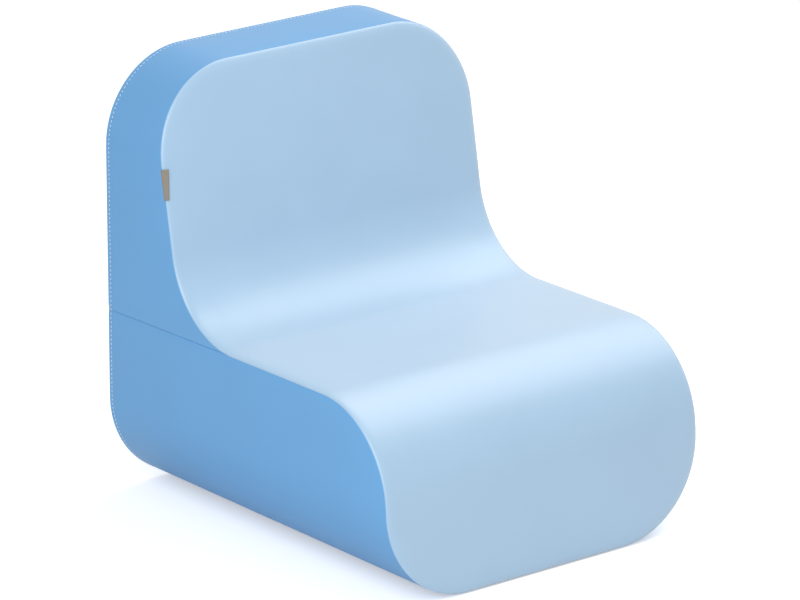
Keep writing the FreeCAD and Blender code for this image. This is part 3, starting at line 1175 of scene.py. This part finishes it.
def pull_tab():
    """A long tab with a window for the bail and a grip slot."""
    low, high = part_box("zip_pull_tab")
    axis = high.x - PULL_WINDOW[0]
    rear = (low.y + high.y) / 2

    def spot(x, z):
        return (axis - x, ZIP_Z + z)

    def window(start, end, half):
        return rounded([spot(start, half), spot(end, half), spot(end, -half), spot(start, -half)], 0.0009)

    edge = rounded([
        spot(-PULL_WINDOW[0], PULL_ARM_HALF), spot(PULL_WINDOW[1] + 0.002, PULL_ARM_HALF),
        spot(PULL_SLOT[0], PULL_HALF), spot(PULL_END, PULL_HALF),
        spot(PULL_END, -PULL_HALF), spot(PULL_SLOT[0], -PULL_HALF),
        spot(PULL_WINDOW[1] + 0.002, -PULL_ARM_HALF), spot(-PULL_WINDOW[0], -PULL_ARM_HALF),
    ], 0.0035)
    tab = plate([edge, window(*PULL_WINDOW), window(*PULL_SLOT)], rear - 0.0007, rear + 0.0007, METAL_EASE)
    piece = link("zip_pull_tab_plated", assembled("zip_pull_tab_plated", [tab]))
    finish_piece(piece, "zip_metal", body="zip_pull", nodes=["zip_pull_tab"])


def end_stops():
    """The bridge at the far end, and a clip on each tape at the slider's end."""
    low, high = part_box("zip_end_stops")
    length = 0.003
    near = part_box("zip_upper_tape")[0].z - ZIP_Z
    blocks = [box_outline((low.x, low.z), (low.x + length, high.z))]
    for sign in (1, -1):
        ends = sorted((ZIP_Z + sign * near, ZIP_Z + sign * (high.z - ZIP_Z)))
        blocks.append(box_outline((high.x - length, ends[0]), (high.x, ends[1])))
    parts = [plate([rounded(block, 0.0006)], low.y, high.y, METAL_EASE) for block in blocks]
    piece = link("zip_end_stops_plated", assembled("zip_end_stops_plated", parts))
    finish_piece(piece, "zip_metal", nodes=["zip_end_stops"])


def make_zip():
    tree = tooth_tree()
    for side, sign in (("upper", 1), ("lower", -1)):
        teeth(tree, f"zip_{side}_teeth", sign)
        tape(f"zip_{side}_tape", sign)
    slider()
    pull_tab()
    end_stops()


make_zip()


# Label

LABEL_PLACE_SHARE = 0.61
LABEL_LENGTH = 0.040
LABEL_PLY = 0.0005
LABEL_GAP = 0.0010
LABEL_RUN = 0.0032
LABEL_SKEW = 0.0040
LABEL_LIFT = math.radians(25)
LABEL_TUCK = 0.0012
LABEL_TURN = 0.0006


def label_path(run):
    """Across the folded label: out of the seam, round the front panel's edge, over its fold and back."""
    stand = FRONT_ROLL + LABEL_PLY
    bend = math.pi / 2 - LABEL_LIFT
    seam = FRONT_SWELL + FRONT_ROLL
    runs = [
        (LABEL_TUCK, 0),
        (LABEL_TURN * math.pi / 2, -math.pi / 2),
        (stand * bend, -bend),
        (run, 0),
        (LABEL_GAP / 2 * math.pi, math.pi),
        (run, 0),
        ((stand + LABEL_GAP) * bend, bend),
        ((LABEL_TURN + LABEL_GAP) * math.pi / 2, math.pi / 2),
        (LABEL_TUCK, 0),
    ]
    start = (seam - stand + LABEL_TURN + LABEL_TUCK, -seam - LABEL_TURN)
    return Path(start, math.pi, runs, step=0.0003)


def side_label():
    """A woven strip folded double and caught in the seam a little askew, so that its lower end shows less."""
    seat = seat_path(0)
    middle, out = seat.at(np.array([LABEL_PLACE_SHARE * seat.ends[1]]))
    across, stand_off = Vector((1, 0, 0)), Vector((0, *out[0]))
    up = stand_off.cross(across)
    if up.z < 0:
        up = -up
    root = Vector((-HALF_WIDTH, *middle[0]))
    share = spaced(0, 1, 0.02)
    rows, places = [], []
    for w in spaced(-LABEL_LENGTH / 2, LABEL_LENGTH / 2, 0.002):
        path = label_path(LABEL_RUN + LABEL_SKEW * w / LABEL_LENGTH)
        lengths = share * path.length
        rows.append([root + across * u + stand_off * v + up * w for u, v in path.at(lengths)[0]])
        places.append([(length, w) for length in lengths])
    mesh = strip("side_label_woven", np.array(rows), np.array(places))
    piece = link("side_label_woven", mesh)
    ply = piece.modifiers.new("ply", "SOLIDIFY")
    ply.thickness, ply.offset = LABEL_PLY, 0.0
    finish_piece(piece, "woven_label", nodes=["side_label"])
    flat = (LABEL_LENGTH, float(label_path(LABEL_RUN).length))


side_label()


# Underside

DOT_PITCH = 0.011
DOT_RADIUS = 0.0024
DOT_MARGIN = 0.016


def grip_dots():
    """Rubber dots that keep the chair from sliding."""
    nodes, given = geometry_tree("dots", {
        "Width": "Float", "Length": "Float", "Across": "Int", "Along": "Int", "Dot": "Vector",
        "Rubber": "Material",
    })
    places = nodes.add("GeometryNodeMeshGrid", None, {
        "Size X": given["Width"], "Size Y": given["Length"],
        "Vertices X": given["Across"], "Vertices Y": given["Along"],
    })
    ball = nodes.add("GeometryNodeMeshUVSphere", None, {"Segments": 10, "Rings": 4, "Radius": 1.0})
    dot = nodes.add("GeometryNodeTransform", None, {"Geometry": ball, "Scale": given["Dot"]})
    tree = repeat(nodes, places, dot, given["Rubber"])
    low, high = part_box("base_panel")
    width, length = high.x - low.x - 2 * DOT_MARGIN, high.y - low.y - 2 * DOT_MARGIN
    piece = grown("base_grip_dots", tree, {
        "Width": width, "Length": length,
        "Across": round(width / DOT_PITCH) + 1, "Along": round(length / DOT_PITCH) + 1,
        "Dot": (DOT_RADIUS, DOT_RADIUS, BASE_LIFT), "Rubber": materials["non_slip_base"],
    })
    piece.data.transform(Matrix.Translation((0, (low.y + high.y) / 2, BASE_LIFT)))
    finish_piece(piece, "non_slip_base")


grip_dots()


# Stage, with the camera that was fitted to the photo

LENS = 269.9
SENSOR = 36.0
PICTURE_WIDTH = 800
SHIFT = (1.09, -9.67)
TARGET = Vector((0, 0.008, 0.300))
AZIMUTH = -38.61
ELEVATION = 18.22
DISTANCE = 7.84
SKY_STRENGTH = 0.45
FLOOR_RADIUS = 9.0
FLOOR_TONE = 0.9
FLOOR_GLOW = 0.42


def look_from(target, azimuth, elevation, distance):
    az, el = math.radians(azimuth), math.radians(elevation)
    way = Vector((math.sin(az) * math.cos(el), -math.cos(az) * math.cos(el), math.sin(el)))
    return target + way * distance


def aim(thing, place, target):
    thing.location = place
    thing.rotation_euler = (target - place).to_track_quat("-Z", "Y").to_euler()
    bpy.context.scene.collection.objects.link(thing)


def softbox(name, way, distance, size, power):
    lamp = bpy.data.lights.new(name, "AREA")
    lamp.shape, lamp.size, lamp.energy = "DISK", size, power
    middle = Vector((0, 0, HEIGHT / 2))
    aim(bpy.data.objects.new(name, lamp), middle + Vector(way).normalized() * distance, middle)


def studio():
    scene = bpy.context.scene
    scene.view_settings.view_transform = "Standard"
    lens = bpy.data.cameras.new("camera")
    lens.lens, lens.sensor_width = LENS, SENSOR
    lens.shift_x, lens.shift_y = (pixels / PICTURE_WIDTH for pixels in SHIFT)
    lens.clip_end = 100
    camera = bpy.data.objects.new("camera", lens)
    aim(camera, look_from(TARGET, AZIMUTH, ELEVATION, DISTANCE), TARGET)
    scene.camera = camera

    softbox("key", (0.60, 0.08, 0.80), 2.6, 2.6, 38)
    softbox("fill", (-0.75, -0.6, 0.55), 3.2, 2.4, 60)

    world = bpy.data.worlds.new("studio")
    world.use_nodes = True
    world.node_tree.nodes.clear()
    nodes = Nodes(world.node_tree)
    sky = nodes.add("ShaderNodeBackground", None, {"Color": (1, 1, 1, 1), "Strength": SKY_STRENGTH})
    white = nodes.add("ShaderNodeBackground", None, {"Color": (1, 1, 1, 1), "Strength": 1.0})
    ray = nodes.add("ShaderNodeLightPath", out="Is Camera Ray")
    seen = ray + ray.other("Is Glossy Ray")
    nodes.add("ShaderNodeOutputWorld", None, {
        "Surface": nodes.add("ShaderNodeMixShader", None, {0: seen, 1: sky, 2: white}),
    })
    scene.world = world

    floor_mesh = bpy.data.meshes.new("floor")
    shape = bmesh.new()
    bmesh.ops.create_circle(shape, cap_ends=True, segments=96, radius=FLOOR_RADIUS)
    shape.to_mesh(floor_mesh)
    shape.free()
    floor = link("floor", floor_mesh)
    pale = bpy.data.materials.new("pale_floor")
    pale.use_nodes = True
    pale.node_tree.nodes.clear()
    nodes = Nodes(pale.node_tree)
    matt = nodes.add("ShaderNodeBsdfDiffuse", None, {"Color": (FLOOR_TONE, FLOOR_TONE, FLOOR_TONE, 1)})
    seen = nodes.add("ShaderNodeLightPath", out="Is Camera Ray")
    glow = nodes.add("ShaderNodeEmission", None, {
        "Color": mixed(nodes, seen, (0, 0, 0, 1), (FLOOR_GLOW, FLOOR_GLOW, FLOOR_GLOW, 1)),
    })
    nodes.add("ShaderNodeOutputMaterial", None, {
        "Surface": nodes.add("ShaderNodeAddShader", None, {0: matt, 1: glow}),
    })
    floor.data.materials.append(pale)


studio()
